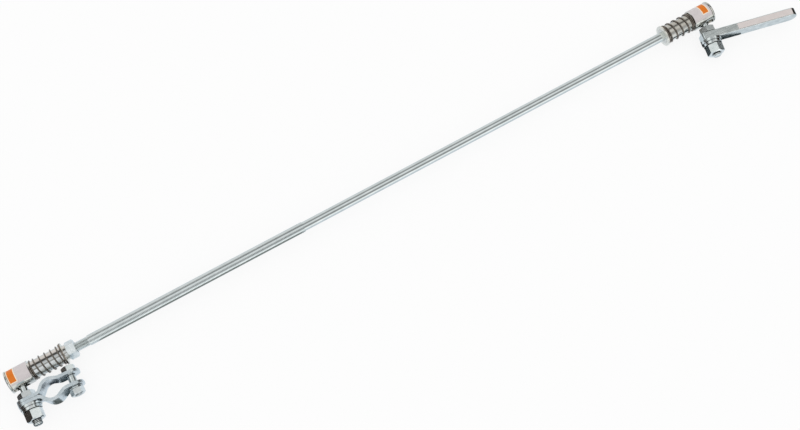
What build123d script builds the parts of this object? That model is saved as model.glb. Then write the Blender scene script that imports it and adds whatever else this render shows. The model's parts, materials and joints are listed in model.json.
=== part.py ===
"""Steering tie rod with a quick-release ball coupler at each end.

Frame: the origin is the centre of the ram clamp's bore, +X runs along the rod from the
clamp to the lever arm, +Y runs from the clamp towards the rod, and +Z is up, along the
bore. All lengths are millimetres and all angles are degrees.
"""
from build123d import *
from dataclasses import dataclass
from math import cos, pi, radians, sin, sqrt, tan
import os

os.makedirs("parts", exist_ok=True)

# ---- Rod -------------------------------------------------------------------
ball_spacing = 825.8        # from the left ball's centre to the right one's, along the rod
rod_diameter = 10.0         # plain shank, and the thread's major diameter at both ends
rolled_diameter = 11.3      # over the rolled ribs of the cut-to-length zone
rolled_length = 247.5
neck_length = 14.0          # bare thread between the jam nut and the rolled zone
thread_engagement = 34.0    # length of rod inside each socket body
thread_clearance = 0.05     # radial, between any thread and its hole
spare_hole_depth = 4.0      # the socket's threaded hole runs this far past the rod's end
rod_chamfer = 0.6
rolled_chamfer = 0.4

# ---- Coupler, measured from the ball's centre along the rod ------------------
ball_diameter = 13.0
ball_drop = 3.0             # the ball's centre lies this far from the rod's axis, on the stud's side
seat_wall = 1.0
seat_clearance = 0.05       # radial, on both faces of the seat
seat_skirt = 1.0            # the seat reaches this far past the ball's equator
body_diameter = 18.6
end_reach = 11.5            # from the ball's centre to the coupler's outer end
stop_ring_diameter = 24.4
stop_ring_thickness = 2.0
stop_ring_bore = 15.0
sleeve_diameter = 23.2
sleeve_length = 23.2
sleeve_clearance = 0.05     # radial, between the sleeve and the socket body
sleeve_chamfer = 0.6
slot_clearance = 0.6        # each side of the stud's neck
slot_reach = 7.5            # how far the slot runs past the ball's centre
spring_length = 34.8
spring_wire = 1.4
spring_diameter = 21.6      # over the coils
spring_end_gap = 0.1
closed_coil_gap = 0.05
pitch_blend = 0.8           # turns over which the pitch opens or closes
coil_points = 10            # points on the spring's path in each turn
left_spring_turns = (1.25, 4.8, 0.75)      # tight at the sleeve, open, tight at the retainer
right_spring_turns = (1.5, 3.75, 1.5)
left_spring_start = 88.0    # where the wire starts; a turn about the coupler's axis
right_spring_start = 164.0
retainer_diameter = 23.2
retainer_thickness = 2.0
boss_diameter = 16.0
left_boss_length = 5.1      # the left boss stands out past the retainer, to meet the jam nut
right_boss_length = 2.2
jam_nut_height = 9.5

# ---- Sleeve label --------------------------------------------------------------
label_thickness = 0.15
label_margin = 0.5          # bare sleeve left at each end of the label
label_near_angle = 40.0     # from straight up, round towards the stud
label_far_angle = 95.0      # from straight up, round away from the stud

# ---- Ball stud, measured from the ball's centre along the stud -------------------
neck_diameter = 8.0
left_collar_start = 14.35
right_collar_start = 12.5
collar_height = 7.0
collar_across_flats = 16.0
stud_diameter = 10.0
left_stud_length = 50.4
right_stud_length = 48.1
stud_chamfer = 1.0
stud_hole_diameter = 10.3   # in the straps and the arm
nut_across_flats = 17.0
hexagon_face = 0.95         # a nut's round end face, as a share of its width across flats
hexagon_bevel = 30.0        # the slope of the bevel round it
corner_up = 30.0            # the turn that puts a hexagon's corner up
nut_height = 11.0
washer_diameter = 22.6
washer_thickness = 2.8
lock_washer_diameter = 20.6
lock_washer_thickness = 3.2
lock_washer_gap = 1.2
lock_washer_slant = 20.0    # the cut's turn from straight across the ring
left_stud_tilt = -2.5       # each stud's turn from square to the rod, as it lies at rest
right_stud_tilt = -12.4
left_collar_turn = 18.0     # turns of the hexagons about their own axes, from corner up
left_nut_turn = 6.4
right_collar_turn = 17.0
right_nut_turn = -6.0
jam_nut_turn = -20.6
clamp_bolt_turn = 4.0
clamp_nut_turn = 22.0

# ---- Ram clamp, measured from the bore's centre -----------------------------------
bore_diameter = 18.2        # between the straps as they stand open
strap_thickness = 3.4
strap_width = 22.0
strap_corner = 9.0
bore_to_stud = 25.6
bore_to_bolt = 21.5
strap_overhang_stud = 11.4
strap_overhang_bolt = 9.8
upper_jaw = 6.1             # from the clamp's middle plane to each strap at the bolt
lower_jaw = 3.6
hold_start_angle = 140.0    # the straps are round from this angle to each one's own end angle
upper_end_angle = 70.0
lower_end_angle = 60.0
stud_bend_radius = 5.0
bolt_bend_radius = 9.0
bolt_diameter = 8.0
bolt_hole_diameter = 8.4
bolt_across_flats = 13.0
bolt_head_height = 6.4
clamp_lock_diameter = 13.2
clamp_lock_thickness = 2.0
clamp_lock_gap = 1.0
clamp_nut_height = 6.5
bolt_tip = 0.7              # the bolt stands out past its nut

# ---- Lever arm ----------------------------------------------------------------------
arm_reach = 94.7            # from the stud to the centre of the rounded far end
arm_overhang = 10.0         # the square near end lies this far behind the stud
arm_corner = 3.0
arm_width = 15.5
arm_thickness = 8.8
arm_edge = 0.5
arm_label_start = 31.7
arm_label_length = 64.9
arm_label_width = 6.9

through = 60.0              # a cut this long passes through any one piece

# ---- Worked out from the sizes above ---------------------------------------------------
ball_radius = ball_diameter / 2
body_radius = body_diameter / 2
sleeve_radius = sleeve_diameter / 2
pocket_radius = ball_radius + seat_wall + 2 * seat_clearance
sleeve_start = -end_reach + stop_ring_thickness
sleeve_end = sleeve_start + sleeve_length
retainer_start = sleeve_end + spring_length
left_boss_end = retainer_start + left_boss_length
right_boss_end = retainer_start + right_boss_length
left_collar_end = left_collar_start + collar_height
right_collar_end = right_collar_start + collar_height
strap_mid = left_collar_end + strap_thickness      # where the two straps meet at the stud

left_tilt = radians(left_stud_tilt)
left_across = Vector(cos(left_tilt), sin(left_tilt), 0)
right_tilt = radians(right_stud_tilt)
right_across = Vector(cos(right_tilt), sin(right_tilt), 0)

clamp_plane = Plane(origin=(0, 0, 0), x_dir=left_across, z_dir=(0, 0, 1))
left_ball = clamp_plane.from_local_coords(Vector(-bore_to_stud, strap_mid, 0))
right_ball = left_ball + Vector(ball_spacing, 0, 0)
rod_height = left_ball.Y + ball_drop          # the rod's axis lies here in Y

# A coupler's own frame has X from the ball towards the middle of the rod, and the stud
# leaves it towards -Y. The right one is the left one turned half round about Y.
left_coupler = Plane(origin=(left_ball.X, rod_height, 0), x_dir=(1, 0, 0), z_dir=(0, 0, 1))
right_coupler = Plane(origin=(right_ball.X, rod_height, 0), x_dir=(-1, 0, 0), z_dir=(0, 0, -1))

# A stud's own frame has its origin at the ball's centre, and the stud runs towards -Y.
left_stud = Plane(origin=left_ball, x_dir=left_across, z_dir=(0, 0, 1))
right_stud = Plane(origin=right_ball, x_dir=right_across, z_dir=(0, 0, 1))


def save(part, name):
    """Label a finished piece and write its STEP file."""
    part.label = name
    export_step(part, f"parts/{name}.step")


def along(frame, start):
    """A plane square to a coupler's axis, start from the ball, facing the rod's middle."""
    origin = frame.from_local_coords(Vector(start, 0, 0))
    return Plane(origin=origin, x_dir=frame.y_dir, z_dir=frame.x_dir)


def down(frame, start):
    """A plane square to a stud or bolt, start below its frame's origin, facing down it."""
    origin = frame.from_local_coords(Vector(0, -start, 0))
    return Plane(origin=origin, x_dir=frame.x_dir, z_dir=-frame.y_dir)


def axis_of(plane):
    """The axis through a plane's origin, along its normal."""
    return Axis(plane.origin, plane.z_dir)


def coupler_axis(frame):
    return Axis(frame.origin, frame.x_dir)


def hexagon(base, across_flats, height, turn):
    """A solid hexagon with beveled corners that grows from its base plane."""
    corner_radius = across_flats / sqrt(3)
    face_radius = across_flats / 2 * hexagon_face
    bevel = (corner_radius - face_radius) * tan(radians(hexagon_bevel))
    side = Plane(origin=base.origin, x_dir=base.x_dir, z_dir=-base.y_dir)
    with BuildPart() as blank:
        with BuildSketch(base):
            RegularPolygon(radius=corner_radius, side_count=6, rotation=corner_up + turn)
        extrude(amount=height)
        with BuildSketch(side):
            with BuildLine():
                Polyline((0, 0), (face_radius, 0), (corner_radius, bevel),
                         (corner_radius, height - bevel), (face_radius, height),
                         (0, height), close=True)
            make_face()
        revolve(axis=axis_of(base), mode=Mode.INTERSECT)
    return blank.part


def hex_nut(base, across_flats, height, thread_diameter, turn):
    """A hexagon nut that grows from its base plane."""
    blank = hexagon(base, across_flats, height, turn)
    with BuildPart() as nut:
        add(blank)
        with BuildSketch(base):
            Circle(thread_diameter / 2 + thread_clearance)
        extrude(amount=height, mode=Mode.SUBTRACT)
    return nut.part


def ring(base, outer_radius, inner_radius, thickness):
    """A flat ring that grows from its base plane."""
    with BuildPart() as made:
        with BuildSketch(base):
            Circle(outer_radius)
            Circle(inner_radius, mode=Mode.SUBTRACT)
        extrude(amount=thickness)
    return made.part


def socket_body(frame, ball, boss_length):
    """The steel body: it holds the ball in a pocket, and the rod in a threaded hole."""
    boss_end = retainer_start + boss_length
    mouth = Plane(origin=ball, x_dir=frame.x_dir, z_dir=-frame.y_dir)
    hole_bottom = boss_end - thread_engagement - spare_hole_depth
    with BuildPart() as body:
        with BuildSketch(frame):
            with BuildLine():
                Polyline((-end_reach, 0), (-end_reach, stop_ring_bore / 2), (sleeve_start, stop_ring_bore / 2),
                         (sleeve_start, body_radius), (retainer_start, body_radius),
                         (retainer_start, boss_diameter / 2), (boss_end, boss_diameter / 2),
                         (boss_end, 0), close=True)
            make_face()
        revolve(axis=coupler_axis(frame))
        with Locations(ball):
            Sphere(pocket_radius, mode=Mode.SUBTRACT)
        with BuildSketch(mouth):
            Circle(pocket_radius)
        extrude(amount=through, mode=Mode.SUBTRACT)
        with BuildSketch(along(frame, hole_bottom)):
            Circle(rod_diameter / 2 + thread_clearance)
        extrude(amount=boss_end - hole_bottom, mode=Mode.SUBTRACT)
    return body.part


def release_sleeve(frame, ball):
    """The sleeve that closes the pocket, slotted from its outer end for the stud's neck."""
    mouth = Plane(origin=ball, x_dir=frame.x_dir, z_dir=-frame.y_dir)
    slot_radius = neck_diameter / 2 + slot_clearance
    slot_middle = slot_reach - slot_radius
    slot_open = slot_middle - sleeve_start
    with BuildPart() as sleeve:
        with BuildSketch(along(frame, sleeve_start)):
            Circle(sleeve_radius)
        extrude(amount=sleeve_length)
        chamfer(sleeve.edges().filter_by(GeomType.CIRCLE), sleeve_chamfer)
        with BuildSketch(along(frame, sleeve_start)):
            Circle(body_radius + sleeve_clearance)
        extrude(amount=sleeve_length, mode=Mode.SUBTRACT)
        with BuildSketch(mouth):
            with Locations((slot_middle, 0)):
                Circle(slot_radius)
            with Locations((slot_middle - slot_open / 2, 0)):
                Rectangle(slot_open, 2 * slot_radius)
        extrude(amount=through, mode=Mode.SUBTRACT)
    return sleeve.part


def sleeve_label(frame):
    """A thin wrap round the side of the sleeve that faces up."""
    angle = radians(label_near_angle)
    outward = Vector(0, -sin(angle), cos(angle))
    edge = Plane(origin=frame.origin, x_dir=frame.x_dir, z_dir=frame.x_dir.cross(outward))
    length = sleeve_length - 2 * label_margin
    with BuildPart() as label:
        with BuildSketch(edge):
            with Locations((sleeve_start + sleeve_length / 2, sleeve_radius + label_thickness / 2)):
                Rectangle(length, label_thickness)
        revolve(axis=Axis(frame.origin, (-1, 0, 0)), revolution_arc=label_near_angle + label_far_angle)
    return label.part


def eased(turns):
    """Turns past a change of pitch that is spread over pitch_blend turns."""
    if turns < 0:
        return 0
    if turns < pitch_blend:
        return turns ** 2 / (2 * pitch_blend)
    return turns - pitch_blend / 2


def release_spring(frame, turns, start_turn):
    """A compression spring, wound tight at both ends, swept along one smooth path."""
    coil_radius = (spring_diameter - spring_wire) / 2
    first = sleeve_end + spring_end_gap + spring_wire / 2
    last = retainer_start - spring_end_gap - spring_wire / 2
    closed_pitch = spring_wire + closed_coil_gap
    first_turns, open_turns, last_turns = turns
    all_turns = first_turns + open_turns + last_turns
    opening = (last - first - closed_pitch * all_turns) / open_turns
    opens = first_turns - pitch_blend / 2
    path = []
    for step in range(round(all_turns * coil_points) + 1):
        turn = step * all_turns / round(all_turns * coil_points)
        angle = radians(start_turn) + 2 * pi * turn
        height = closed_pitch * turn + opening * (eased(turn - opens) - eased(turn - opens - open_turns))
        path.append(frame.from_local_coords(Vector(first + height, coil_radius * cos(angle),
                                                   coil_radius * sin(angle))))
    with BuildPart() as spring:
        with BuildLine():
            coil = Spline(*path)
        with BuildSketch(Plane(origin=coil @ 0, z_dir=coil % 0)):
            Circle(spring_wire / 2)
        sweep(is_frenet=True)
    return spring.part


def ball_seat(stud, ball):
    """The cup behind the ball, which turns with the stud's swing."""
    with BuildPart() as seat:
        with Locations(ball):
            Sphere(pocket_radius - seat_clearance)
            Sphere(ball_radius + seat_clearance, mode=Mode.SUBTRACT)
        with BuildSketch(down(stud, seat_skirt)):
            Circle(pocket_radius)
        extrude(amount=pocket_radius, mode=Mode.SUBTRACT)
    return seat.part


def ball_stud(stud, ball, collar_start, collar_turn, length):
    """Ball, neck, hexagon collar and threaded shank in one piece."""
    collar = hexagon(down(stud, collar_start), collar_across_flats, collar_height, collar_turn)
    collar_end = collar_start + collar_height
    with BuildPart() as made:
        add(collar)
        with BuildSketch(down(stud, collar_end)):
            Circle(stud_diameter / 2)
        extrude(amount=length - collar_end)
        tip = made.faces().sort_by(axis_of(down(stud, 0)))[-1]
        chamfer(tip.edges(), stud_chamfer)
        with BuildSketch(down(stud, 0)):
            Circle(neck_diameter / 2)
        extrude(amount=collar_start)
        with Locations(ball):
            Sphere(ball_radius)
    return made.part


def lock_washer(base, diameter, hole_diameter, thickness, gap):
    """A split spring washer."""
    with BuildPart() as washer:
        with BuildSketch(base):
            Circle(diameter / 2)
            Circle(hole_diameter / 2, mode=Mode.SUBTRACT)
            with Locations((-(diameter + hole_diameter) / 4, 0)):
                Rectangle(diameter / 2, gap, rotation=lock_washer_slant, mode=Mode.SUBTRACT)
        extrude(amount=thickness)
    return washer.part


def ram_strap(side, jaw, end_turn):
    """One strap of the ram clamp: the rod's side is 1, and the far side is -1."""
    half = strap_thickness / 2
    hug_radius = bore_diameter / 2 + half
    jaw_height = jaw + half
    start_angle = radians(hold_start_angle)
    end_angle = radians(end_turn)
    middle_angle = (start_angle + end_angle) / 2

    def place(x, y):
        return (x, side * y)

    def on_ram(angle):
        return place(hug_radius * cos(angle), hug_radius * sin(angle))

    start_height = hug_radius * sin(start_angle)
    end_height = hug_radius * sin(end_angle)
    stud_bend = hug_radius * cos(start_angle) + (start_height - half) * tan(start_angle)
    bolt_bend = hug_radius * cos(end_angle) + (end_height - jaw_height) * tan(end_angle)
    near_end = -bore_to_stud - strap_overhang_stud
    far_end = bore_to_bolt + strap_overhang_bolt
    outline = Plane(origin=clamp_plane.from_local_coords(Vector((near_end + far_end) / 2, 0, 0)),
                    x_dir=left_across, z_dir=-clamp_plane.y_dir)
    with BuildPart() as strap:
        with BuildSketch(clamp_plane):
            with BuildLine():
                FilletPolyline(place(near_end, half), place(stud_bend, half), on_ram(start_angle),
                               radius=stud_bend_radius)
                ThreePointArc(on_ram(start_angle), on_ram(middle_angle), on_ram(end_angle))
                FilletPolyline(on_ram(end_angle), place(bolt_bend, jaw_height), place(far_end, jaw_height),
                               radius=bolt_bend_radius)
            trace(line_width=strap_thickness)
        extrude(amount=strap_width / 2, both=True)
        with BuildSketch(outline):
            RectangleRounded(far_end - near_end, strap_width, strap_corner)
        extrude(amount=through, both=True, mode=Mode.INTERSECT)
        with BuildSketch(down(clamp_plane, 0)):
            with Locations((-bore_to_stud, 0)):
                Circle(stud_hole_diameter / 2)
            with Locations((bore_to_bolt, 0)):
                Circle(bolt_hole_diameter / 2)
        extrude(amount=through, both=True, mode=Mode.SUBTRACT)
    return strap.part


# ---- The rod ----------------------------------------------------------------------------
rod_start = left_ball.X + left_boss_end - thread_engagement
rolled_start = left_ball.X + left_boss_end + jam_nut_height + neck_length
rolled_end = rolled_start + rolled_length
rod_end = right_ball.X - right_boss_end + thread_engagement
shank_radius = rod_diameter / 2
rolled_radius = rolled_diameter / 2
rod_plane = Plane(origin=(0, rod_height, 0), x_dir=(1, 0, 0), z_dir=(0, 0, 1))
with BuildPart() as rod:
    with BuildSketch(rod_plane):
        with BuildLine():
            Polyline((rod_start, 0), (rod_start, shank_radius - rod_chamfer),
                     (rod_start + rod_chamfer, shank_radius), (rolled_start, shank_radius),
                     (rolled_start + rolled_chamfer, rolled_radius),
                     (rolled_end - rolled_chamfer, rolled_radius), (rolled_end, shank_radius),
                     (rod_end - rod_chamfer, shank_radius), (rod_end, shank_radius - rod_chamfer),
                     (rod_end, 0), close=True)
        make_face()
    revolve(axis=coupler_axis(rod_plane))
save(rod.part, "rod")

# ---- The two couplers and their ball studs -------------------------------------------------
@dataclass
class Side:
    """What differs between the two ends of the rod."""
    name: str
    frame: Plane
    stud: Plane
    ball: Vector
    boss_length: float
    spring_turns: tuple
    spring_start: float
    collar_start: float
    collar_turn: float
    grip: float                 # thickness of what the stud's nut holds against the collar
    nut_turn: float
    stud_length: float


left = Side("left", left_coupler, left_stud, left_ball, left_boss_length,
            left_spring_turns, left_spring_start, left_collar_start, left_collar_turn,
            2 * strap_thickness, left_nut_turn, left_stud_length)
right = Side("right", right_coupler, right_stud, right_ball, right_boss_length,
             right_spring_turns, right_spring_start, right_collar_start, right_collar_turn,
             arm_thickness, right_nut_turn, right_stud_length)

for side in (left, right):
    frame, stud, ball, name = side.frame, side.stud, side.ball, side.name
    save(socket_body(frame, ball, side.boss_length), f"{name}_socket_body")
    save(ring(along(frame, -end_reach), stop_ring_diameter / 2, stop_ring_bore / 2, stop_ring_thickness),
         f"{name}_stop_ring")
    save(release_sleeve(frame, ball), f"{name}_release_sleeve")
    save(sleeve_label(frame), f"{name}_sleeve_label")
    save(release_spring(frame, side.spring_turns, side.spring_start), f"{name}_release_spring")
    save(ring(along(frame, retainer_start), retainer_diameter / 2, boss_diameter / 2, retainer_thickness),
         f"{name}_spring_retainer")
    save(ball_seat(stud, ball), f"{name}_ball_seat")
    save(ball_stud(stud, ball, side.collar_start, side.collar_turn, side.stud_length), f"{name}_ball_stud")

    washer_start = side.collar_start + collar_height + side.grip
    lock_start = washer_start + washer_thickness
    nut_start = lock_start + lock_washer_thickness
    save(ring(down(stud, washer_start), washer_diameter / 2, stud_hole_diameter / 2, washer_thickness),
         f"{name}_flat_washer")
    save(lock_washer(down(stud, lock_start), lock_washer_diameter, stud_hole_diameter,
                     lock_washer_thickness, lock_washer_gap), f"{name}_lock_washer")
    save(hex_nut(down(stud, nut_start), nut_across_flats, nut_height, stud_diameter, side.nut_turn),
         f"{name}_stud_nut")
save(hex_nut(along(left_coupler, left_boss_end), nut_across_flats, jam_nut_height, rod_diameter,
             jam_nut_turn), "jam_nut")

# ---- The ram clamp ---------------------------------------------------------------------------
save(ram_strap(1, upper_jaw, upper_end_angle), "upper_strap")
save(ram_strap(-1, lower_jaw, lower_end_angle), "lower_strap")

head_start = -upper_jaw - strap_thickness        # the straps' outer faces at the bolt
clamp_lock_start = lower_jaw + strap_thickness
clamp_nut_start = clamp_lock_start + clamp_lock_thickness
bolt_end = clamp_nut_start + clamp_nut_height + bolt_tip
bolt_frame = Plane(origin=clamp_plane.from_local_coords(Vector(bore_to_bolt, 0, 0)),
                   x_dir=left_across, z_dir=(0, 0, 1))
bolt_head = hexagon(down(bolt_frame, head_start - bolt_head_height), bolt_across_flats,
                    bolt_head_height, clamp_bolt_turn)
with BuildPart() as clamp_bolt:
    add(bolt_head)
    with BuildSketch(down(bolt_frame, head_start)):
        Circle(bolt_diameter / 2)
    extrude(amount=bolt_end - head_start)
save(clamp_bolt.part, "clamp_bolt")
save(lock_washer(down(bolt_frame, clamp_lock_start), clamp_lock_diameter, bolt_hole_diameter,
                 clamp_lock_thickness, clamp_lock_gap), "clamp_lock_washer")
save(hex_nut(down(bolt_frame, clamp_nut_start), bolt_across_flats, clamp_nut_height,
             bolt_diameter, clamp_nut_turn), "clamp_nut")

# ---- The lever arm -----------------------------------------------------------------------------
with BuildPart() as lever_arm:
    with BuildSketch(down(right_stud, right_collar_end)) as arm_outline:
        with Locations(((arm_reach - arm_overhang) / 2, 0)):
            Rectangle(arm_reach + arm_overhang, arm_width)
        with Locations((arm_reach, 0)):
            Circle(arm_width / 2)
        fillet(arm_outline.vertices().sort_by(Axis.X)[:2], radius=arm_corner)
    extrude(amount=arm_thickness)
    chamfer(lever_arm.edges(), arm_edge)
    with BuildSketch(down(right_stud, right_collar_end)):
        Circle(stud_hole_diameter / 2)
    extrude(amount=arm_thickness, mode=Mode.SUBTRACT)
save(lever_arm.part, "lever_arm")

label_middle = right_stud.from_local_coords(Vector(arm_label_start + arm_label_length / 2,
                                                   -right_collar_end - arm_thickness / 2, arm_width / 2))
with BuildPart() as arm_label:
    with BuildSketch(Plane(origin=label_middle, x_dir=right_across, z_dir=(0, 0, 1))):
        Rectangle(arm_label_length, arm_label_width)
    extrude(amount=label_thickness)
save(arm_label.part, "arm_label")

print("clamp bore to rod axis", round(rod_height, 3))
print("left ball", left_ball, "right ball", right_ball)
print("rolled zone from", round(rolled_start, 2), "to", round(rolled_end, 2))
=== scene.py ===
import json
from functools import partial
from math import atan2, cos, pi, radians, sin

import bmesh
import bpy
from mathutils import Matrix, Vector

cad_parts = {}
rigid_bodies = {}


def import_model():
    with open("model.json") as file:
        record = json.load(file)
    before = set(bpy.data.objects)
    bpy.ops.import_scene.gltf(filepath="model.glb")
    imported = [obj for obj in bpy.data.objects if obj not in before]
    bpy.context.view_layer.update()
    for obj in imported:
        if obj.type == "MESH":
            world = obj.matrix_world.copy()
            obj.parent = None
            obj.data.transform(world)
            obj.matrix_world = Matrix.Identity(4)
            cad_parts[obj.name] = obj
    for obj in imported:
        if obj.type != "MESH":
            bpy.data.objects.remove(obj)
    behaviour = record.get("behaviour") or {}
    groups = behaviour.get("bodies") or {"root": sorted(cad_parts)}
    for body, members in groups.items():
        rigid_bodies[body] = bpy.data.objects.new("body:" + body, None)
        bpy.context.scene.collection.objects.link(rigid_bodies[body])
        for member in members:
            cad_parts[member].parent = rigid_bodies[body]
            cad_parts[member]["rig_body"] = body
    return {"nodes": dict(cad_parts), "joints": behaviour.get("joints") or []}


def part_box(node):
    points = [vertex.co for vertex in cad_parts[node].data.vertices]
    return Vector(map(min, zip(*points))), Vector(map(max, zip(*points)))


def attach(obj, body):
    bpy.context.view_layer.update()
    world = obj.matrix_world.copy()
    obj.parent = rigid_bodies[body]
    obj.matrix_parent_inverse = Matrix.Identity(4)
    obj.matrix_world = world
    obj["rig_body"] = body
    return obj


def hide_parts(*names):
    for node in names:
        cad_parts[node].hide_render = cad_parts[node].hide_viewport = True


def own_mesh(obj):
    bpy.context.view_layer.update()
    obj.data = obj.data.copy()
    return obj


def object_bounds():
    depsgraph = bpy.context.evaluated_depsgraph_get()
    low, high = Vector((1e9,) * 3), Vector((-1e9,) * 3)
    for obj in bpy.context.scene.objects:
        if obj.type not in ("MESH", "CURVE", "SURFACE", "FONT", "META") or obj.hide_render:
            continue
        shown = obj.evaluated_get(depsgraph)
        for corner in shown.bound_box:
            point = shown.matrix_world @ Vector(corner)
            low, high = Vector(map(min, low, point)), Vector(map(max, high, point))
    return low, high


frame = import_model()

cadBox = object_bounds()
nodes = frame["nodes"]
mm = 0.001


def linearColour(code):
    def channel(value):
        value /= 255
        return value / 12.92 if value <= 0.04045 else ((value + 0.055) / 1.055) ** 2.4
    return tuple(channel(int(code[i:i + 2], 16)) for i in (1, 3, 5)) + (1.0,)


def perMetre(sizeInMm):    # a texture scale that gives features of this size
    return 1 / (sizeInMm * mm)


def addNode(tree, kind, inputs=None, **settings):    # a node given as a value means its first output
    node = tree.nodes.new(kind)
    for name, value in settings.items():
        setattr(node, name, value)
    for name, value in (inputs or {}).items():
        socket = node.inputs[name]
        if isinstance(value, bpy.types.Node):
            value = value.outputs[0]
        if isinstance(value, bpy.types.NodeSocket):
            tree.links.new(value, socket)
        else:
            socket.default_value = value
    return node


def mathNode(tree, operation, *values):
    return addNode(tree, "ShaderNodeMath", dict(enumerate(values)), operation=operation)


# places read from the frame
rodLow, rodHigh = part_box("rod")
rodY = (rodLow.y + rodHigh.y) / 2
sleeveLow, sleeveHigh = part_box("left_release_sleeve")
sleeveRadius = (sleeveHigh.z - sleeveLow.z) / 2
joints = {joint["name"]: joint for joint in frame["joints"]}


def studAxis(side):    # the ball's centre and the way the stud leaves it
    spin = joints[side + "_spin"]
    return Vector(spin["pos_m"]), Vector(spin["axis"]).normalized()


armStud = studAxis("right")[1]
armTurn = -atan2(armStud.x, -armStud.y)    # how far the lever arm is turned from the rod's line


def spanAlong(nodeName, origin, direction):    # where a CAD node starts and ends along a line
    reach = [(vertex.co - origin).dot(direction) for vertex in nodes[nodeName].data.vertices]
    return min(reach), max(reach)


def newMaterial(name, settings):
    material = bpy.data.materials.new(name)
    material.use_nodes = True
    tree = material.node_tree
    shader = tree.nodes["Principled BSDF"]
    for socket, value in settings.items():
        shader.inputs[socket].default_value = value
    return material, tree, shader


# what all the metals share: how the noises are made, and which of their values give tone and gloss
grainLook = {"cloudDetail": 3.0, "cloudRoughness": 0.55, "markDetail": 4.0, "markRoughness": 0.6,
             "toneFrom": 0.35, "toneTo": 0.65, "glossFrom": 0.3, "glossTo": 0.7}
# painted shade in gaps and creases, where parts meet: its reach in mm, and how open a place is where it
# is full and where it ends
creaseShadeLook = {"reach": 2.0, "fullAt": 0.5, "endsAt": 0.85, "dark": 0.05, "samples": 8}


def metalFinish(name, look):
    # zinc plate and polished steel differ in tone, gloss, clouding and the marks left by making
    material, tree, shader = newMaterial(name, {"Metallic": 1.0})
    add = partial(addNode, tree)
    grain = grainLook
    place = add("ShaderNodeTexCoord").outputs["Object"]
    stretched = add("ShaderNodeMapping", {
        "Vector": place, "Scale": look["stretch"], "Rotation": look.get("turn", (0, 0, 0))})
    cloud = add("ShaderNodeTexNoise", {
        "Vector": place, "Scale": perMetre(look["cloudSize"]), "Detail": grain["cloudDetail"],
        "Roughness": grain["cloudRoughness"]}).outputs["Fac"]
    marks = add("ShaderNodeTexNoise", {
        "Vector": stretched, "Scale": perMetre(look["markSize"]), "Detail": grain["markDetail"],
        "Roughness": grain["markRoughness"]}).outputs["Fac"]
    tone = add("ShaderNodeValToRGB", {"Fac": cloud})
    low, high = tone.color_ramp.elements
    low.position, low.color = grain["toneFrom"], linearColour(look["darkTone"])
    high.position, high.color = grain["toneTo"], linearColour(look["lightTone"])
    colour = tone.outputs["Color"]
    glossy, dull = look["roughness"]
    gloss = add("ShaderNodeMapRange", {
        "Value": marks, "From Min": grain["glossFrom"], "From Max": grain["glossTo"],
        "To Min": glossy, "To Max": dull})
    bump = add("ShaderNodeBump", {
        "Height": marks, "Strength": look["bump"], "Distance": look["bumpDepth"] * mm})
    # painted shade: the base colour is darkened where ambient occlusion finds creases and gaps between
    # parts
    if look.get("creaseShade"):
        hollow = add("ShaderNodeAmbientOcclusion", {"Distance": creaseShadeLook["reach"] * mm},
                     samples=creaseShadeLook["samples"])
        shadeScale = add("ShaderNodeMapRange", {
            "Value": hollow.outputs["AO"], "From Min": creaseShadeLook["fullAt"],
            "From Max": creaseShadeLook["endsAt"], "To Min": creaseShadeLook["dark"], "To Max": 1.0})
        colour = add("ShaderNodeVectorMath", {0: colour, "Scale": shadeScale}, operation="SCALE").outputs[0]
    tree.links.new(colour, shader.inputs["Base Color"])
    tree.links.new(gloss.outputs["Result"], shader.inputs["Roughness"])
    tree.links.new(bump.outputs["Normal"], shader.inputs["Normal"])
    return material


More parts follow.
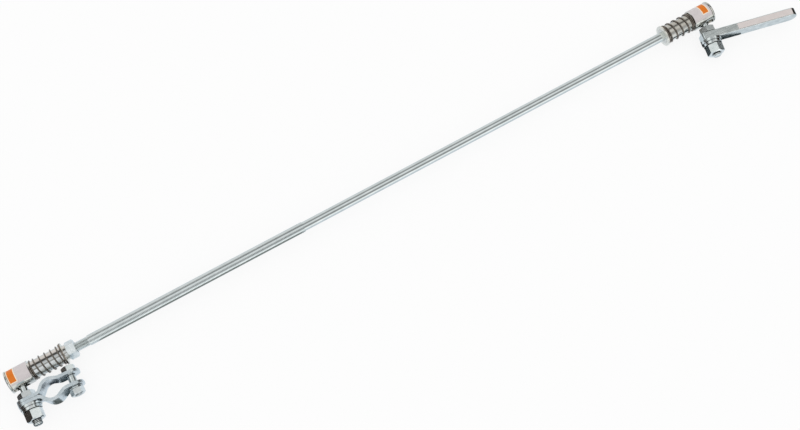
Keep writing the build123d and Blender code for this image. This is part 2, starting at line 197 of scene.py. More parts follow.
finishes = {
    # thin zinc plate on drawn bar: greyer than the fasteners, with fine lengthwise draw lines
    "rodZinc": metalFinish("thinZincOnDrawnBar", {
        "darkTone": "#D6DBDB", "lightTone": "#E2E6E6", "cloudSize": 9, "stretch": (0.04, 1, 1),
        "markSize": 0.5, "roughness": (0.06, 0.12), "bump": 0.08, "bumpDepth": 0.03}),
    # bright zinc plate on forged and turned fasteners: pale and slightly satin, with painted shade in
    # its creases
    "hardwareZinc": metalFinish("brightZincOnFasteners", {
        "darkTone": "#E4E9E9", "lightTone": "#F6F8F8", "cloudSize": 4, "stretch": (1, 1, 1),
        "markSize": 0.6, "roughness": (0.14, 0.26), "bump": 0.12, "bumpDepth": 0.03,
        "creaseShade": True}),
    # polished steel: mirror bright, with faint turning lines round it
    "couplerPolish": metalFinish("polishedTurnedSteel", {
        "darkTone": "#D9D7D2", "lightTone": "#E8E6E1", "cloudSize": 12, "stretch": (1, 0.05, 0.05),
        "markSize": 0.35, "roughness": (0.03, 0.08), "bump": 0.05, "bumpDepth": 0.02}),
    # music wire, oiled and browned: dull brownish grey
    "springSteel": metalFinish("brownedSpringWire", {
        "darkTone": "#766C65", "lightTone": "#9A9087", "cloudSize": 3, "stretch": (1, 1, 1),
        "markSize": 0.4, "roughness": (0.22, 0.34), "bump": 0.1, "bumpDepth": 0.02}),
    # bright zinc plate on pressed strip: cool, with the soft waviness of rolled strip, and painted shade
    # in its creases
    "strapZinc": metalFinish("brightZincOnPressedStrip", {
        "darkTone": "#D8E1E6", "lightTone": "#EEF3F6", "cloudSize": 7, "stretch": (1, 1, 0.1),
        "markSize": 0.8, "roughness": (0.28, 0.40), "bump": 0.12, "bumpDepth": 0.04,
        "creaseShade": True}),
    # bright zinc plate on flat bar that was linished lengthwise: long fine scratches, and painted shade
    # in its creases
    "barZinc": metalFinish("brightZincOnLinishedBar", {
        "darkTone": "#CDD3D3", "lightTone": "#E9EDED", "cloudSize": 6, "stretch": (0.03, 1, 1),
        "turn": (0, 0, armTurn), "markSize": 1.2, "roughness": (0.12, 0.26), "bump": 0.5,
        "bumpDepth": 0.15, "creaseShade": True}),
    # pressed disc with a warmer, creamier plate
    "discZinc": metalFinish("warmZincOnDisc", {
        "darkTone": "#ECE8E0", "lightTone": "#FBF8F0", "cloudSize": 5, "stretch": (1, 1, 1),
        "markSize": 0.5, "roughness": (0.20, 0.32), "bump": 0.1, "bumpDepth": 0.02}),
}


acetalLook = {"darkTone": "#E4E1D8", "lightTone": "#F0EEE6", "roughness": 0.35, "ior": 1.48,
              "grainSize": 0.6, "bump": 0.08, "bumpDepth": 0.02}


def acetalFinish():
    # moulded acetal: white, slightly waxy
    look = acetalLook
    material, tree, shader = newMaterial("mouldedAcetal", {
        "Roughness": look["roughness"], "IOR": look["ior"]})
    place = addNode(tree, "ShaderNodeTexCoord").outputs["Object"]
    grain = addNode(tree, "ShaderNodeTexNoise", {
        "Vector": place, "Scale": perMetre(look["grainSize"])}).outputs["Fac"]
    bump = addNode(tree, "ShaderNodeBump", {
        "Height": grain, "Strength": look["bump"], "Distance": look["bumpDepth"] * mm})
    tone = addNode(tree, "ShaderNodeValToRGB", {"Fac": grain})
    low, high = tone.color_ramp.elements
    low.color, high.color = linearColour(look["darkTone"]), linearColour(look["lightTone"])
    tree.links.new(tone.outputs["Color"], shader.inputs["Base Color"])
    tree.links.new(bump.outputs["Normal"], shader.inputs["Normal"])
    return material


finishes["acetal"] = acetalFinish()


filmLook = {"cloudSize": 5, "inkEdge": 0.06, "ior": 1.46}    # sizes in mm


def printedFilm(name, look):
    # vinyl film under a clear gloss coat, with any printed blocks; the UV map is in millimetres
    material, tree, shader = newMaterial(name, {"Roughness": look["roughness"], "IOR": filmLook["ior"]})
    math = partial(mathNode, tree)
    uv = addNode(tree, "ShaderNodeUVMap").outputs["UV"]
    axes = addNode(tree, "ShaderNodeSeparateXYZ", {"Vector": uv}).outputs

    def inside(block):
        masks = []
        for axis, (middle, width) in zip("XY", block):
            distance = math("ABSOLUTE", math("SUBTRACT", axes[axis], middle))
            masks.append(addNode(tree, "ShaderNodeMapRange", {
                "Value": distance, "From Min": width / 2 - filmLook["inkEdge"],
                "From Max": width / 2 + filmLook["inkEdge"], "To Min": 1.0, "To Max": 0.0}))
        return math("MULTIPLY", *masks)

    place = addNode(tree, "ShaderNodeTexCoord").outputs["Object"]
    cloud = addNode(tree, "ShaderNodeTexNoise", {
        "Vector": place, "Scale": perMetre(filmLook["cloudSize"])}).outputs["Fac"]
    tone = addNode(tree, "ShaderNodeValToRGB", {"Fac": cloud})
    low, high = tone.color_ramp.elements
    low.color, high.color = linearColour(look["darkTone"]), linearColour(look["lightTone"])
    colour = tone.outputs["Color"]
    for ink, block in look["blocks"]:
        mixed = addNode(tree, "ShaderNodeMix", {"Factor": inside(block)}, data_type="RGBA")
        tree.links.new(colour, mixed.inputs[6])
        mixed.inputs[7].default_value = linearColour(ink)
        colour = mixed.outputs[2]
    tree.links.new(colour, shader.inputs["Base Color"])
    return material


def newTree(name, inputs):
    tree = bpy.data.node_groups.new(name, "GeometryNodeTree")
    tree.interface.new_socket(name="Geometry", in_out="OUTPUT", socket_type="NodeSocketGeometry")
    for label, kind in inputs:
        tree.interface.new_socket(name=label, in_out="INPUT", socket_type=kind)
    return tree, addNode(tree, "NodeGroupInput").outputs


def closeTree(tree, geometry, material):
    real = addNode(tree, "GeometryNodeRealizeInstances", {"Geometry": geometry})
    smooth = addNode(tree, "GeometryNodeSetShadeSmooth", {"Geometry": real})
    painted = addNode(tree, "GeometryNodeSetMaterial", {"Geometry": smooth, "Material": material})
    addNode(tree, "NodeGroupOutput", {"Geometry": painted})


valleyFloor = 0.9    # from 0 at a ridge's middle to 1 between two ridges: where the flat bottom starts


def threadTree():
    # a bar with rolled ridges: a helix when Lead is 1, and separate ribs when it is 0
    number = "NodeSocketFloat"
    tree, given = newTree("rolledRidges", [
        ("Length", number), ("Radius", number), ("Depth", number), ("Pitch", number), ("Lead", number),
        ("Crest", number), ("Taper", number), ("Chamfer", number), ("Sides", "NodeSocketInt"),
        ("Rings", "NodeSocketInt"), ("Place", "NodeSocketVector"), ("Turn", "NodeSocketRotation"),
        ("Finish", "NodeSocketMaterial")])
    math = partial(mathNode, tree)

    bar = addNode(tree, "GeometryNodeMeshCylinder", {
        "Vertices": given["Sides"], "Side Segments": given["Rings"], "Radius": given["Radius"],
        "Depth": given["Length"]})
    position = addNode(tree, "GeometryNodeInputPosition")
    at = addNode(tree, "ShaderNodeSeparateXYZ", {"Vector": position}).outputs
    around = math("DIVIDE", math("ARCTAN2", at["Y"], at["X"]), 2 * pi)
    climbed = math("MULTIPLY", around, given["Lead"])
    phase = math("SUBTRACT", math("DIVIDE", at["Z"], given["Pitch"]), climbed)
    wave = math("ABSOLUTE", math("SUBTRACT", math("MULTIPLY", math("FRACT", phase), 2.0), 1.0))
    valley = addNode(tree, "ShaderNodeMapRange", {
        "Value": wave, "From Min": given["Crest"], "From Max": valleyFloor})
    fromEnd = math("SUBTRACT", math("DIVIDE", given["Length"], 2.0), math("ABSOLUTE", at["Z"]))
    full = math("MINIMUM", math("DIVIDE", fromEnd, given["Taper"]), 1.0)
    cut = math("MULTIPLY", math("MULTIPLY", valley, given["Depth"]), full)
    slope = math("MAXIMUM", math("SUBTRACT", given["Chamfer"], fromEnd), 0.0)
    shrink = math("SUBTRACT", 1.0, math("DIVIDE", math("MAXIMUM", cut, slope), given["Radius"]))
    moved = addNode(tree, "ShaderNodeCombineXYZ", {
        "X": math("MULTIPLY", at["X"], shrink), "Y": math("MULTIPLY", at["Y"], shrink), "Z": at["Z"]})
    cutBar = addNode(tree, "GeometryNodeSetPosition", {
        "Geometry": bar.outputs["Mesh"], "Position": moved})
    placed = addNode(tree, "GeometryNodeTransform", {
        "Geometry": cutBar, "Translation": given["Place"], "Rotation": given["Turn"]})
    closeTree(tree, placed, given["Finish"])
    return tree


wireSides = 14


def coilTree():
    # a compression spring with tight ends: the path rises slowly, then fast, then slowly
    number = "NodeSocketFloat"
    tree, given = newTree("compressionCoil", [
        ("Length", number), ("Coil Radius", number), ("Wire", number), ("First Turns", number),
        ("Open Turns", number), ("Last Turns", number), ("Tight Pitch", number), ("Blend", number),
        ("Start", number), ("Steps", "NodeSocketInt"),
        ("Place", "NodeSocketVector"), ("Turn", "NodeSocketRotation"), ("Finish", "NodeSocketMaterial")])
    math = partial(mathNode, tree)

    def eased(value):    # rises from zero, with its start rounded over the blend
        bend = addNode(tree, "ShaderNodeClamp", {"Value": value, "Max": given["Blend"]})
        rounded = math("DIVIDE", math("MULTIPLY", bend, bend), math("MULTIPLY", given["Blend"], 2.0))
        return math("ADD", rounded, math("MAXIMUM", math("SUBTRACT", value, given["Blend"]), 0.0))

    line = addNode(tree, "GeometryNodeCurvePrimitiveLine", {"End": (0, 0, 1)})
    path = addNode(tree, "GeometryNodeResampleCurve", {"Curve": line, "Count": given["Steps"]})
    share = addNode(tree, "GeometryNodeSplineParameter").outputs["Factor"]
    allTurns = math("ADD", math("ADD", given["First Turns"], given["Open Turns"]), given["Last Turns"])
    turn = math("MULTIPLY", share, allTurns)
    tightRise = math("MULTIPLY", allTurns, given["Tight Pitch"])
    opening = math("DIVIDE", math("SUBTRACT", given["Length"], tightRise), given["Open Turns"])
    opens = math("MULTIPLY_ADD", given["Blend"], 0.5, math("SUBTRACT", turn, given["First Turns"]))
    closes = math("SUBTRACT", opens, given["Open Turns"])
    opened = math("SUBTRACT", eased(opens), eased(closes))
    height = math("ADD", math("MULTIPLY", turn, given["Tight Pitch"]), math("MULTIPLY", opened, opening))
    angle = math("MULTIPLY_ADD", turn, 2 * pi, given["Start"])
    point = addNode(tree, "ShaderNodeCombineXYZ", {
        "X": math("MULTIPLY", math("COSINE", angle), given["Coil Radius"]),
        "Y": math("MULTIPLY", math("SINE", angle), given["Coil Radius"]), "Z": height})
    coil = addNode(tree, "GeometryNodeSetPosition", {"Geometry": path, "Position": point})
    ring = addNode(tree, "GeometryNodeCurvePrimitiveCircle", {
        "Resolution": wireSides, "Radius": math("DIVIDE", given["Wire"], 2.0)})
    wire = addNode(tree, "GeometryNodeCurveToMesh", {
        "Curve": coil, "Profile Curve": ring, "Fill Caps": True})
    placed = addNode(tree, "GeometryNodeTransform", {
        "Geometry": wire, "Translation": given["Place"], "Rotation": given["Turn"]})
    closeTree(tree, placed, given["Finish"])
    return tree


samePlace = 1e-7    # metres; points closer than this become one


def plainMesh(name, source):
    # the evaluated result as a mesh of its own, with its faces outwards
    bpy.context.view_layer.update()
    mesh = bpy.data.meshes.new_from_object(source.evaluated_get(bpy.context.evaluated_depsgraph_get()))
    bpy.data.objects.remove(source)
    shape = bmesh.new()
    shape.from_mesh(mesh)
    bmesh.ops.remove_doubles(shape, verts=shape.verts, dist=samePlace)
    bmesh.ops.recalc_face_normals(shape, faces=shape.faces)
    shape.to_mesh(mesh)
    shape.free()
    piece = bpy.data.objects.new(name, mesh)
    bpy.context.scene.collection.objects.link(piece)
    return piece


def runTree(name, tree, values):
    piece = bpy.data.objects.new(name + "Source", bpy.data.meshes.new(name + "Source"))
    bpy.context.scene.collection.objects.link(piece)
    modifier = piece.modifiers.new("build", "NODES")
    modifier.node_group = tree
    for item in tree.interface.items_tree:
        if item.in_out == "INPUT":
            modifier[item.identifier] = values[item.name]
    return plainMesh(name, piece)


def joined(name, pieces):
    shape = bmesh.new()
    materials = []
    for piece in pieces:
        start = len(shape.faces)
        shape.from_mesh(piece.data)
        shape.faces.ensure_lookup_table()
        for face in shape.faces[start:]:
            face.material_index += len(materials)
        materials += list(piece.data.materials)
        bpy.data.objects.remove(piece)
    mesh = bpy.data.meshes.new(name)
    shape.to_mesh(mesh)
    shape.free()
    for material in materials:
        mesh.materials.append(material)
    whole = bpy.data.objects.new(name, mesh)
    bpy.context.scene.collection.objects.link(whole)
    return whole


def finishPiece(piece, body, slotName, *stoodFor):
    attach(piece, body)
    if stoodFor:
        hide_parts(*stoodFor)


ridges = threadTree()
coils = coilTree()
alongX = (0, pi / 2, 0)
backAlongX = (0, -pi / 2, 0)


barSharp = 60    # degrees; a bar's end faces stay crisp


def ridgedBar(name, start, end, radius, values, finish, samples=8, sides=40, chamfer=0.0):
    # start and end are points in metres; the ridges run between them
    run = end - start
    turn = run.to_track_quat("Z", "Y").to_euler()
    rings = max(4, round(run.length / (values["pitch"] * mm) * samples))
    bar = runTree(name, ridges, {
        "Length": run.length, "Radius": radius, "Depth": values["depth"] * mm,
        "Pitch": values["pitch"] * mm, "Lead": values["lead"], "Crest": values["crest"],
        "Taper": values["taper"] * mm, "Chamfer": chamfer * mm, "Sides": sides, "Rings": rings,
        "Place": (start + end) / 2, "Turn": turn, "Finish": finish})
    bar.data.set_sharp_from_angle(angle=radians(barSharp))
    return bar


# the rod in mm: threaded neck, rolled ribs and plain drawn shank; crest is the ridges' flat share
rodLook = {
    "thread": {"pitch": 1.5, "depth": 0.6, "lead": 1.0, "crest": 0.3, "taper": 1.0},
    "ribs": {"pitch": 1.5, "depth": 0.07, "lead": 0.0, "crest": 0.7, "taper": 0.4},
    "plain": {"pitch": 40.0, "depth": 0.0, "lead": 0.0, "crest": 0.5, "taper": 1.0},
    "ribRadius": 5.65, "shankRadius": 5.0, "shankSides": 64,
}


def onRod(x):
    return Vector((x, rodY, 0))


def buildRod():
    look = rodLook
    between = (look["ribRadius"] + look["shankRadius"]) / 2 * mm
    ribbed = [vertex.co.x for vertex in nodes["rod"].data.vertices
              if (vertex.co - onRod(vertex.co.x)).length > between]
    first, last = min(ribbed), max(ribbed)
    thin, thick = look["shankRadius"] * mm, look["ribRadius"] * mm
    zinc = finishes["rodZinc"]
    neck = ridgedBar("neck", onRod(rodLow.x), onRod(first), thin, look["thread"], zinc)
    ribs = ridgedBar("ribs", onRod(first), onRod(last), thick, look["ribs"], zinc)
    shank = ridgedBar("shank", onRod(last), onRod(rodHigh.x), thin, look["plain"], zinc,
                      samples=1, sides=look["shankSides"])
    rod = joined("tieRod", [neck, ribs, shank])
    finishPiece(rod, "rod", "zinc_rod", "rod")
    print("rod made:", len(rod.data.polygons), "faces")


buildRod()

# sizes and travel in mm, start in degrees
springLook = {
    "wire": 1.4, "tightPitch": 1.45, "blend": 0.8, "travel": 19.0, "stepsPerTurn": 40,
    # turns: tight ones at the sleeve, open ones, and tight ones at the retainer
    "left": {"body": "left_coupler", "turns": (1.25, 4.8, 0.75), "start": 178, "direction": 1},
    "right": {"body": "rod", "turns": (1.5, 3.75, 1.5), "start": 254, "direction": -1},
}


def buildSpring(side):
    look = springLook[side]
    low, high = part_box(side + "_release_spring")
    wire = springLook["wire"] * mm
    if look["direction"] > 0:
        place, turn, anchor = Vector((low.x + wire / 2, rodY, 0)), alongX, Vector((high.x, rodY, 0))
    else:
        place, turn, anchor = Vector((high.x - wire / 2, rodY, 0)), backAlongX, Vector((low.x, rodY, 0))
    length = high.x - low.x
    first, opened, last = look["turns"]
    spring = runTree(side + "SpringWire", coils, {
        "Length": length - wire, "Coil Radius": (high.z - low.z - wire) / 2, "Wire": wire,
        "First Turns": first, "Open Turns": opened, "Last Turns": last, "Blend": springLook["blend"],
        "Tight Pitch": springLook["tightPitch"] * mm, "Start": radians(look["start"]),
        "Steps": round((first + opened + last) * springLook["stepsPerTurn"]), "Place": place,
        "Turn": turn, "Finish": finishes["springSteel"]})
    finishPiece(spring, look["body"], "spring_wire", side + "_release_spring")
    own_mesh(spring)
    print(side, "spring made")


buildSpring("left")
buildSpring("right")


# from the nuts' middles outwards the plain CAD shanks get real threads
def threadedTip(shape, name, nutName, axis, look, finish):
    origin, direction = axis
    nutStart, nutEnd = spanAlong(nutName, origin, direction)
    tip = max((vertex.co - origin).dot(direction) for vertex in shape.verts)
    cut = origin + direction * (nutStart + nutEnd) / 2
    everything = shape.verts[:] + shape.edges[:] + shape.faces[:]
    bmesh.ops.bisect_plane(shape, geom=everything, plane_co=cut, plane_no=direction, clear_outer=True)
    bmesh.ops.holes_fill(shape, edges=[edge for edge in shape.edges if edge.is_boundary])
    start = cut - direction * look["sunk"] * mm
    return ridgedBar(name + "Thread", start, origin + direction * tip, look["radius"] * mm, look,
                     finish, samples=look["samples"], chamfer=look["chamfer"])


# sizes in mm; sunk is how far a thread starts inside the shank
threadLook = {
    "stud": {"radius": 5.0, "pitch": 1.5, "depth": 0.75, "lead": 1.0, "crest": 0.25, "taper": 0.1,
             "chamfer": 1.0, "sunk": 0.5, "samples": 10},
    "bolt": {"radius": 4.0, "pitch": 1.25, "depth": 0.6, "lead": 1.0, "crest": 0.25, "taper": 0.1,
             "chamfer": 0.6, "sunk": 0.5, "samples": 10},
}


def boltAxis():
    boltLow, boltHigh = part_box("clamp_lock_washer")
    direction = studAxis("left")[1]
    return (boltLow + boltHigh) / 2, direction


# merge in mm and angles in degrees: faces flatter than flat become one, edges past edge are eased
easeLook = {"merge": 0.002, "flat": 0.8, "edge": 28, "segments": 2, "sharp": 14}


def easedCopy(nodeName, name, finishName, width, slotName, thread=None):
    # a CAD piece with its sharp edges eased, as plating and tumbling leave them
    source = nodes[nodeName]
    finish = finishes[finishName]
    shape = bmesh.new()
    shape.from_mesh(source.data)
    bmesh.ops.remove_doubles(shape, verts=shape.verts, dist=easeLook["merge"] * mm)
    bmesh.ops.dissolve_limit(shape, angle_limit=radians(easeLook["flat"]), verts=shape.verts,
                             edges=shape.edges)
    extra = [threadedTip(shape, name, *thread, finish)] if thread else []
    mesh = bpy.data.meshes.new(name)
    shape.to_mesh(mesh)
    shape.free()
    mesh.materials.clear()
    mesh.materials.append(finish)
    piece = bpy.data.objects.new(name, mesh)
    bpy.context.scene.collection.objects.link(piece)
    bevel = piece.modifiers.new("ease", "BEVEL")
    bevel.width, bevel.segments = width * mm, easeLook["segments"]
    bevel.limit_method, bevel.angle_limit = "ANGLE", radians(easeLook["edge"])
    piece = plainMesh(name, piece)
    piece.data.shade_smooth()
    piece.data.set_sharp_from_angle(angle=radians(easeLook["sharp"]))
    if extra:
        piece = joined(name, [piece] + extra)
    finishPiece(piece, source["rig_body"], slotName, nodeName)


# CAD node, piece, finish, width of the eased edges in mm, slot, and any thread
easedPieces = [
    ("jam_nut", "jamNut", "hardwareZinc", 0.25, "zinc_hardware"),
    ("upper_strap", "upperStrap", "strapZinc", 0.35, "strap_zinc"),
    ("lower_strap", "lowerStrap", "strapZinc", 0.35, "strap_zinc"),
    ("clamp_bolt", "clampBolt", "hardwareZinc", 0.2, "zinc_hardware",
     ("clamp_nut", boltAxis(), threadLook["bolt"])),
    ("clamp_lock_washer", "clampLockWasher", "hardwareZinc", 0.12, "zinc_hardware"),
    ("clamp_nut", "clampNut", "hardwareZinc", 0.2, "zinc_hardware"),
    ("lever_arm", "leverArm", "barZinc", 0.15, "arm_zinc"),
]
for side in ("left", "right"):
    easedPieces += [
        (side + "_ball_stud", side + "BallStud", "hardwareZinc", 0.25, "zinc_hardware",
         (side + "_stud_nut", studAxis(side), threadLook["stud"])),
        (side + "_stud_nut", side + "StudNut", "hardwareZinc", 0.25, "zinc_hardware"),
        (side + "_flat_washer", side + "FlatWasher", "hardwareZinc", 0.2, "zinc_hardware"),
        (side + "_lock_washer", side + "LockWasher", "hardwareZinc", 0.15, "zinc_hardware"),
        (side + "_socket_body", side + "SocketBody", "couplerPolish", 0.3, "polished_coupler"),
        (side + "_stop_ring", side + "StopRing", "couplerPolish", 0.6, "polished_coupler"),
        (side + "_release_sleeve", side + "ReleaseSleeve", "couplerPolish", 0.3, "polished_coupler"),
        (side + "_spring_retainer", side + "SpringRetainer", "discZinc", 0.3, "retainer_zinc"),
    ]
for values in easedPieces:
    easedCopy(*values)
print("eased pieces made:", len(easedPieces))


def darkRim(pieceName, finish):    # the disc's rim faces get the darker spring-wire finish
    mesh = bpy.data.objects[pieceName].data
    mesh.materials.append(finish)
    alongRod = 0.5    # a face is of the rim when its normal has less than this along the rod
    for face in mesh.polygons:
        if abs(face.normal.x) < alongRod:
            face.material_index = 1


darkRim("leftSpringRetainer", finishes["springSteel"])


def repaint(nodeName, finish):    # a CAD piece that is shown as it is
    mesh = nodes[nodeName].data
    mesh.materials.clear()
    mesh.materials.append(finish)


repaint("left_ball_seat", finishes["acetal"])
repaint("right_ball_seat", finishes["acetal"])

# sizes in mm, and angles in degrees round the sleeve
sleeveLabelLook = {
    "thickness": 0.12, "nearAngle": 40.0, "farAngle": 95.0, "margin": 0.5, "steps": 48, "sharp": 40,
    "film": {"darkTone": "#C5BEBF", "lightTone": "#D2CBCB", "roughness": 0.3},
    "border": 0.9, "borderInk": "#EDE3CB", "blockInk": "#D97206", "blockWidth": 6.6,
    "left": {"body": "left_sleeve", "direction": 1, "blockAt": 4.1, "blockAngles": (-26, 60)},
    "right": {"body": "right_sleeve", "direction": -1, "blockAt": 6.6, "blockAngles": (-15, 60)},
}


def labelFilm(side, radius):
    # one plain block of colour with a pale border, placed by angle round the sleeve
    look = sleeveLabelLook
    own = look[side]
    perDegree = radians(1) * radius / mm
    start, end = own["blockAngles"]
    middle = (start + end - look["farAngle"] + look["nearAngle"]) / 2 * perDegree
    tall = (end - start) * perDegree
    width = look["blockWidth"]
    border = 2 * look["border"]
    blocks = [(look["borderInk"], ((own["blockAt"], width + border), (middle, tall + border))),
              (look["blockInk"], ((own["blockAt"], width), (middle, tall)))]
    return printedFilm("printedVinyl" + side.capitalize(), {**look["film"], "blocks": blocks})


def sleeveLabel(side):
    look = sleeveLabelLook
    own = look[side]
    low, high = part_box(side + "_release_sleeve")
    outer = low.x if own["direction"] > 0 else high.x
    length = high.x - low.x - 2 * look["margin"] * mm
    radii = (sleeveRadius, sleeveRadius + look["thickness"] * mm)
    wrap = radians(look["nearAngle"] + look["farAngle"])
    steps = look["steps"]
    shape = bmesh.new()
    uvLayer = shape.loops.layers.uv.new("UVMap")

    def corner(level, step, edge):
        angle = wrap * step / steps - radians(look["nearAngle"])
        x = outer + own["direction"] * (look["margin"] * mm + edge * length)
        return shape.verts.new((x, rodY + radii[level] * sin(angle), radii[level] * cos(angle)))

    grid = {(level, step, edge): corner(level, step, edge)
            for level in (0, 1) for step in range(steps + 1) for edge in (0, 1)}

    def quad(*corners):
        face = shape.faces.new([grid[place] for place in corners])
        for loop, (level, step, edge) in zip(face.loops, corners):
            loop[uvLayer].uv = (edge * length / mm, (step / steps - 0.5) * wrap * radii[1] / mm)

    for step in range(steps):
        quad((1, step, 0), (1, step + 1, 0), (1, step + 1, 1), (1, step, 1))
        quad((0, step, 0), (0, step, 1), (0, step + 1, 1), (0, step + 1, 0))
        for edge in (0, 1):
            quad((0, step, edge), (0, step + 1, edge), (1, step + 1, edge), (1, step, edge))
    for step in (0, steps):
        quad((0, step, 0), (0, step, 1), (1, step, 1), (1, step, 0))
    bmesh.ops.recalc_face_normals(shape, faces=shape.faces)
    mesh = bpy.data.meshes.new(side + "SleeveLabel")
    shape.to_mesh(mesh)
    shape.free()
    mesh.materials.append(labelFilm(side, radii[1]))
    mesh.shade_smooth()
    mesh.set_sharp_from_angle(angle=radians(look["sharp"]))
    label = bpy.data.objects.new(side + "SleeveLabel", mesh)
    bpy.context.scene.collection.objects.link(label)
    finishPiece(label, own["body"], "label_film", side + "_sleeve_label")


sleeveLabel("left")
sleeveLabel("right")

armFilmLook = {"darkTone": "#C9C0BD", "lightTone": "#D6CECB", "roughness": 0.35, "blocks": []}
repaint("arm_label", printedFilm("blankVinyl", armFilmLook))
print("labels made")


stageLook = {
    "floorGap": 0.3, "floorReach": 6000, "floorTone": "#FFFFFF", "floorGlow": 0.86, "floorShare": 0.12,
    "cardPast": {"x": 30, "front": 60, "back": 30},    # mm past the object
    "cards": {    # seen only in reflections: mm above the floor, tone, and X and Y spans in mm
        "paleCard": (0.0, "#DCE4EA", None, None),
        "clampShade": (0.1, "#2A3846", (-2, 6), (-3, 13)),
        "besideClamp": (0.1, "#30484E", (7, 20), (-3, 13)),
        "underClamp": (0.1, "#5E645F", (-10, 3), (-24, -11)),
        "underRibs": (0.1, "#8C908C", (60, 300), (-40, 18)),
        "underClampEnd": (0.1, "#2C4449", (9, 16), (-17, -7)),
        "couplerShade": (0.1, "#22363D", (-60, 40), (-48, -26)),
        "farShade": (0.1, "#3F484B", (766, 834), (-15, 7)),
    },
}


def flatSheet(name, low, high, level, tone, share=1.0, glow=0.0):
    mesh = bpy.data.meshes.new(name)
    mesh.from_pydata([(low[0], low[1], level), (high[0], low[1], level),
                      (high[0], high[1], level), (low[0], high[1], level)], [], [(0, 1, 2, 3)])
    sheet = bpy.data.objects.new(name, mesh)
    bpy.context.scene.collection.objects.link(sheet)
    colour = tuple(part * share for part in linearColour(tone)[:3]) + (1,)
    paint = newMaterial(name + "Paint", {
        "Base Color": colour, "Roughness": 0.9, "Specular IOR Level": 0.0,
        "Emission Color": linearColour(tone), "Emission Strength": glow})[0]
    mesh.materials.append(paint)
    return sheet


def buildStage():
    # the wide floor isn't seen in reflections; the cards under the object are seen only there
    level = cadBox[0].z - stageLook["floorGap"] * mm
    reach = stageLook["floorReach"] * mm
    floor = flatSheet("floor", (-reach, -reach), (reach, reach), level, stageLook["floorTone"],
                      stageLook["floorShare"], stageLook["floorGlow"])
    floor.visible_glossy = False
    past = {name: value * mm for name, value in stageLook["cardPast"].items()}
    whole = ((cadBox[0].x - past["x"], cadBox[1].x + past["x"]),
             (cadBox[0].y - past["front"], cadBox[1].y + past["back"]))
    for name, (above, tone, xSpan, ySpan) in stageLook["cards"].items():
        spans = whole if xSpan is None else [[value * mm for value in span] for span in (xSpan, ySpan)]
        low, high = zip(*spans)
        card = flatSheet(name, low, high, level + above * mm, tone)
        card.visible_camera = False
        card.visible_diffuse = False
        card.visible_shadow = False


# brightness and tint of the room that metal reflects, by the angle from the back horizon up
# and over: clampSide for rays that lean towards the clamp's end, farSide for those well over
# towards the arm's end, and rodSide between; the pairs below them say how far rays lean
roomLook = {
    "evenLight": 1.02,
    "clampSide": [
        (0, 0.80, "warm"), (28, 0.72, "warm"), (41, 0.10, "warm"), (62, 0.05, "warm"),
        (71, 0.60, "cool"), (92, 0.70, "cool"), (99, 0.60, "plain"), (107, 0.20, "plain"),
        (114, 0.60, "cool"), (124, 0.95, "cool"), (140, 0.82, "cool"), (155, 0.68, "cool"),
        (170, 0.45, "teal"), (186, 0.20, "teal"), (205, 0.07, "teal"), (232, 0.10, "teal"),
        (260, 0.30, "plain"), (287, 0.50, "plain"), (330, 0.70, "plain"), (345, 0.80, "warm")],
    "rodSide": [
        (0, 0.86, "plain"), (26, 0.80, "plain"), (42, 0.55, "plain"), (58, 0.28, "plain"),
        (66, 0.30, "plain"), (78, 0.74, "plain"), (93, 1.02, "plain"), (107, 0.80, "plain"),
        (120, 0.44, "plain"), (132, 0.26, "plain"), (144, 0.40, "plain"), (158, 0.85, "plain"),
        (170, 1.22, "plain"), (188, 1.30, "plain"), (206, 0.90, "plain"), (229, 0.45, "plain"),
        (270, 0.80, "plain"), (330, 0.55, "plain"), (346, 0.84, "plain")],
    "farSide": [
        (0, 0.60, "cream"), (30, 0.56, "cream"), (46, 0.46, "cream"), (56, 0.14, "cream"),
        (67, 0.12, "cream"), (77, 0.46, "cream"), (93, 0.64, "cream"), (107, 0.60, "cream"),
        (122, 0.46, "cream"), (138, 0.46, "plain"), (152, 0.54, "plain"), (166, 0.80, "plain"),
        (186, 0.90, "plain"), (204, 0.30, "plain"), (229, 0.14, "plain"), (260, 0.30, "plain"),
        (287, 0.36, "plain"), (330, 0.50, "plain"), (346, 0.60, "cream")],
    "tints": {"cream": (1.02, 1.0, 0.94), "plain": (0.97, 1.0, 1.0), "warm": (1.03, 0.99, 0.98),
              "cool": (0.93, 0.99, 1.05), "teal": (0.66, 1.04, 1.14)},
    "overhead": (0.84, 0.88, 0.87),
    "overheadBelow": (-0.30, -0.22), "rodFrom": (-0.122, -0.112), "farFrom": (0.402, 0.408),
    "overheadPast": (0.47, 0.53),
    "endStart": 0.66, "endFull": 0.84, "endTone": (0.030, 0.024, 0.020),    # the room's dark ends
}


def bandLight(tree, share, bands):
    ramp = addNode(tree, "ShaderNodeValToRGB", {"Fac": share})
    stops = ramp.color_ramp.elements
    stops.remove(stops[-1])
    top = max(light for degrees, light, tint in bands)
    for i, (degrees, light, tint) in enumerate(bands + [(360,) + bands[0][1:]]):
        stop = stops[0] if i == 0 else stops.new(degrees / 360)
        stop.position = degrees / 360
        stop.color = tuple(part * light / top for part in roomLook["tints"][tint]) + (1,)
    return addNode(tree, "ShaderNodeBackground", {"Color": ramp.outputs["Color"], "Strength": top})


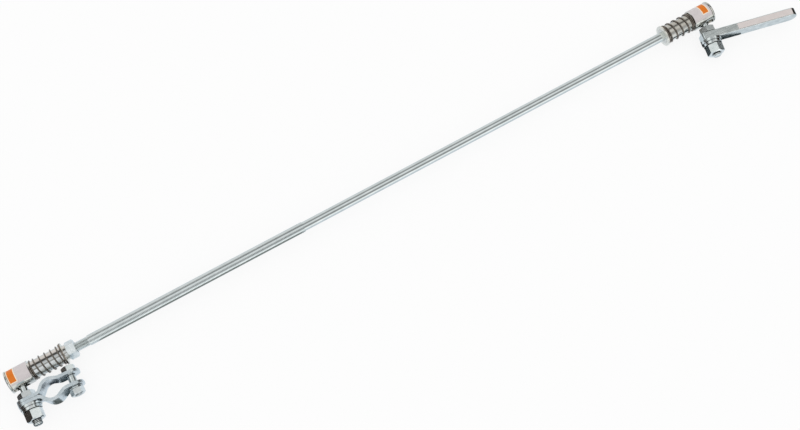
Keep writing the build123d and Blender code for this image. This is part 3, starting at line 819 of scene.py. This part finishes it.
def buildLight():
    # metal reflects long soft lights that run beside the object, and a dark room past its ends
    world = bpy.data.worlds.new("studio")
    bpy.context.scene.world = world
    world.use_nodes = True
    tree = world.node_tree
    tree.nodes.clear()
    look = roomLook
    math = partial(mathNode, tree)
    toward = addNode(tree, "ShaderNodeTexCoord").outputs["Generated"]
    axes = addNode(tree, "ShaderNodeSeparateXYZ", {"Vector": toward}).outputs
    share = math("FRACT", math("DIVIDE", math("ARCTAN2", axes["Z"], axes["Y"]), 2 * pi))

    def plainLight(tone, strength=1.0):
        return addNode(tree, "ShaderNodeBackground", {"Color": tone + (1,), "Strength": strength})

    def across(value, start, end, before, after):    # one light, then another past a place
        step = addNode(tree, "ShaderNodeMapRange", {"Value": value, "From Min": start, "From Max": end},
                       interpolation_type="SMOOTHSTEP")
        return addNode(tree, "ShaderNodeMixShader", {0: step, 1: before, 2: after})

    overhead = plainLight(look["overhead"])
    clampSide, rodSide, farSide = (bandLight(tree, share, look[name])
                                   for name in ("clampSide", "rodSide", "farSide"))
    room = across(axes["X"], *look["overheadBelow"], overhead, clampSide)
    room = across(axes["X"], *look["rodFrom"], room, rodSide)
    room = across(axes["X"], *look["farFrom"], room, farSide)
    room = across(axes["X"], *look["overheadPast"], room, overhead)
    sideways = math("ABSOLUTE", axes["X"])
    room = across(sideways, look["endStart"], look["endFull"], room, plainLight(look["endTone"]))
    even = plainLight((1, 1, 1), look["evenLight"])
    seenInMetal = addNode(tree, "ShaderNodeLightPath").outputs["Is Glossy Ray"]
    mixed = addNode(tree, "ShaderNodeMixShader", {0: seenInMetal, 1: even, 2: room})
    addNode(tree, "ShaderNodeOutputWorld", {"Surface": mixed})


# place, lens and sensor in mm, clip in metres
cameraLook = {"place": (186.9, -357.3, 1231.9), "right": (0.86986, -0.49324, 0.00789),
              "forward": (0.1603, 0.26807, -0.94997), "lens": 55.4, "sensor": 36, "clip": (0.01, 20)}


def buildCamera():
    data = bpy.data.cameras.new("camera")
    data.lens = cameraLook["lens"]
    data.sensor_width = cameraLook["sensor"]
    data.clip_start, data.clip_end = cameraLook["clip"]
    camera = bpy.data.objects.new("camera", data)
    bpy.context.scene.collection.objects.link(camera)
    forward = Vector(cameraLook["forward"]).normalized()
    right = Vector(cameraLook["right"])
    right = (right - forward * right.dot(forward)).normalized()
    up = right.cross(forward)
    camera.matrix_world = Matrix.Translation(Vector(cameraLook["place"]) * mm) @ Matrix(
        (right, up, -forward)).transposed().to_4x4()
    bpy.context.scene.camera = camera


buildStage()
buildLight()
buildCamera()
bpy.context.scene.view_settings.view_transform = "Standard"
print("stage made")
